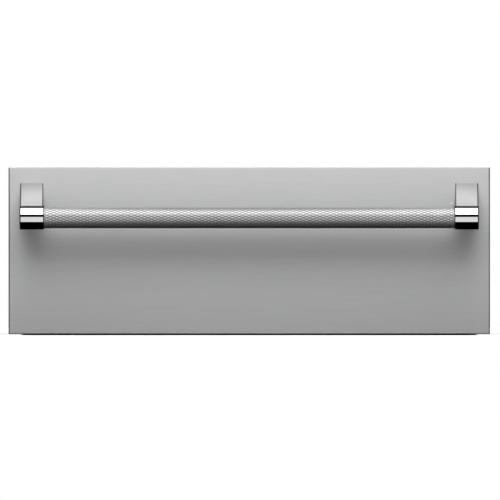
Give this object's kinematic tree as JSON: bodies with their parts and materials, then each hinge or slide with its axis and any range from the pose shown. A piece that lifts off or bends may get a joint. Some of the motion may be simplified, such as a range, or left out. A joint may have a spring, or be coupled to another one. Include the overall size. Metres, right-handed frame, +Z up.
{
  "type": "warming drawer",
  "caption": "Free-standing warming drawer: a wide brushed front with a knurled bar handle, a pan on ball slides above a sheathed heating element, and a control strip behind the front.",
  "frame": {"origin": "on the resting surface, under the middle of the whole object's box", "axes": "+X to the viewer's right along the front, +Y to the back, so the front faces -Y, +Z up"},
  "size_m": [0.759, 0.6752, 0.265],
  "materials": {
    "brushed_front": "satin",
    "satin_post": "satin",
    "knurled_bar": "satin",
    "polished_cap": "polished",
    "inner_sheet": "satin",
    "drawn_pan": "satin",
    "bright_wire": "polished",
    "zinc_slide": "satin",
    "ball_cage": "satin",
    "zinc_sheet": "satin",
    "frame_steel": "satin",
    "liner_steel": "satin",
    "mineral_board": "matte",
    "element_sheath": "matte",
    "probe_steel": "satin",
    "brown_moulding": "satin",
    "board_green": "satin",
    "board_parts": "satin",
    "white_nylon": "satin",
    "black_nylon": "satin",
    "lead_pvc": "satin",
    "lead_glass": "matte",
    "ribbon_grey": "satin",
    "fascia_black": "satin",
    "window_smoke": "gloss",
    "indicator_red": "gloss",
    "light_pipe_clear": "gloss",
    "button_grey": "satin",
    "seal_rubber": "matte",
    "foot_rubber": "matte",
    "screw_steel": "satin"
  },
  "bodies": {
    "cabinet": {"base_pan": "zinc_sheet", "outer_wrap": "zinc_sheet", "rear_panel": "zinc_sheet", "front_frame": "frame_steel", "cavity_liner": "liner_steel", "control_deck": "zinc_sheet", "top_insulation": "mineral_board", "bottom_insulation": "mineral_board", "side_insulation": "mineral_board", "rear_insulation": "mineral_board", "heating_element": "element_sheath", "element_brackets": "zinc_sheet", "temperature_probe": "probe_steel", "thermal_cutout": "brown_moulding", "control_board": "board_green", "board_components": "board_parts", "terminal_block": "white_nylon", "cable_gland": "black_nylon", "mains_leads": "lead_pvc", "heater_leads": "lead_glass", "ribbon_cable": "ribbon_grey", "control_fascia": "fascia_black", "display_window": "window_smoke", "display_board": "board_green", "indicator_led": "indicator_red", "left_outer_slide": "zinc_slide", "right_outer_slide": "zinc_slide", "cavity_seal": "seal_rubber", "casing_screws": "screw_steel", "rubber_feet": "foot_rubber"},
    "drawer": {"front_skin": "brushed_front", "front_inner_panel": "inner_sheet", "front_insulation": "mineral_board", "handle_bar": "knurled_bar", "left_handle_post": "satin_post", "right_handle_post": "satin_post", "left_end_cap": "polished_cap", "right_end_cap": "polished_cap", "handle_screws": "screw_steel", "light_pipe": "light_pipe_clear", "drawer_pan": "drawn_pan", "left_rail": "inner_sheet", "right_rail": "inner_sheet", "rear_crossbar": "inner_sheet", "left_inner_slide": "zinc_slide", "right_inner_slide": "zinc_slide", "inner_panel_screws": "screw_steel"},
    "rack": {"wire_rack": "bright_wire"},
    "vent": {"vent_slider": "inner_sheet"},
    "left_middle_slide": {"left_middle_slide": "zinc_slide"},
    "left_outer_cage": {"left_outer_cage": "ball_cage"},
    "left_inner_cage": {"left_inner_cage": "ball_cage"},
    "right_middle_slide": {"right_middle_slide": "zinc_slide"},
    "right_outer_cage": {"right_outer_cage": "ball_cage"},
    "right_inner_cage": {"right_inner_cage": "ball_cage"},
    "power_button": {"power_button": "button_grey"},
    "low_button": {"low_button": "button_grey"},
    "medium_button": {"medium_button": "button_grey"},
    "high_button": {"high_button": "button_grey"},
    "timer_button": {"timer_button": "button_grey"}
  },
  "joints": [
    {"name": "drawer_slide", "type": "slide", "parent": "cabinet", "child": "drawer", "axis": [0, -1, 0], "range_m": [0, 0.48]},
    {"name": "left_middle_slide_travel", "type": "slide", "parent": "cabinet", "child": "left_middle_slide", "axis": [0, -1, 0], "range_m": [0, 0.24]},
    {"name": "left_outer_cage_travel", "type": "slide", "parent": "cabinet", "child": "left_outer_cage", "axis": [0, -1, 0], "range_m": [0, 0.12]},
    {"name": "left_inner_cage_travel", "type": "slide", "parent": "cabinet", "child": "left_inner_cage", "axis": [0, -1, 0], "range_m": [0, 0.36]},
    {"name": "right_middle_slide_travel", "type": "slide", "parent": "cabinet", "child": "right_middle_slide", "axis": [0, -1, 0], "range_m": [0, 0.24]},
    {"name": "right_outer_cage_travel", "type": "slide", "parent": "cabinet", "child": "right_outer_cage", "axis": [0, -1, 0], "range_m": [0, 0.12]},
    {"name": "right_inner_cage_travel", "type": "slide", "parent": "cabinet", "child": "right_inner_cage", "axis": [0, -1, 0], "range_m": [0, 0.36]},
    {"name": "power_press", "type": "slide", "parent": "cabinet", "child": "power_button", "axis": [0, 1, 0], "range_m": [0, 0.0008], "stiffness_N_per_m": 900, "springref_m": -0.0008},
    {"name": "low_press", "type": "slide", "parent": "cabinet", "child": "low_button", "axis": [0, 1, 0], "range_m": [0, 0.0008], "stiffness_N_per_m": 900, "springref_m": -0.0008},
    {"name": "medium_press", "type": "slide", "parent": "cabinet", "child": "medium_button", "axis": [0, 1, 0], "range_m": [0, 0.0008], "stiffness_N_per_m": 900, "springref_m": -0.0008},
    {"name": "high_press", "type": "slide", "parent": "cabinet", "child": "high_button", "axis": [0, 1, 0], "range_m": [0, 0.0008], "stiffness_N_per_m": 900, "springref_m": -0.0008},
    {"name": "timer_press", "type": "slide", "parent": "cabinet", "child": "timer_button", "axis": [0, 1, 0], "range_m": [0, 0.0008], "stiffness_N_per_m": 900, "springref_m": -0.0008},
    {"name": "rack_lift", "type": "slide", "parent": "drawer", "child": "rack", "axis": [0, 0, 1], "range_m": [0, 0.1]},
    {"name": "vent_slide", "type": "slide", "parent": "drawer", "child": "vent", "axis": [1, 0, 0], "range_m": [0, 0.009]}
  ],
  "couplings": [
    {"joint": "left_middle_slide_travel", "follows": "drawer_slide", "ratio": 0.5},
    {"joint": "left_outer_cage_travel", "follows": "drawer_slide", "ratio": 0.25},
    {"joint": "left_inner_cage_travel", "follows": "drawer_slide", "ratio": 0.75},
    {"joint": "right_middle_slide_travel", "follows": "drawer_slide", "ratio": 0.5},
    {"joint": "right_outer_cage_travel", "follows": "drawer_slide", "ratio": 0.25},
    {"joint": "right_inner_cage_travel", "follows": "drawer_slide", "ratio": 0.75}
  ]
}
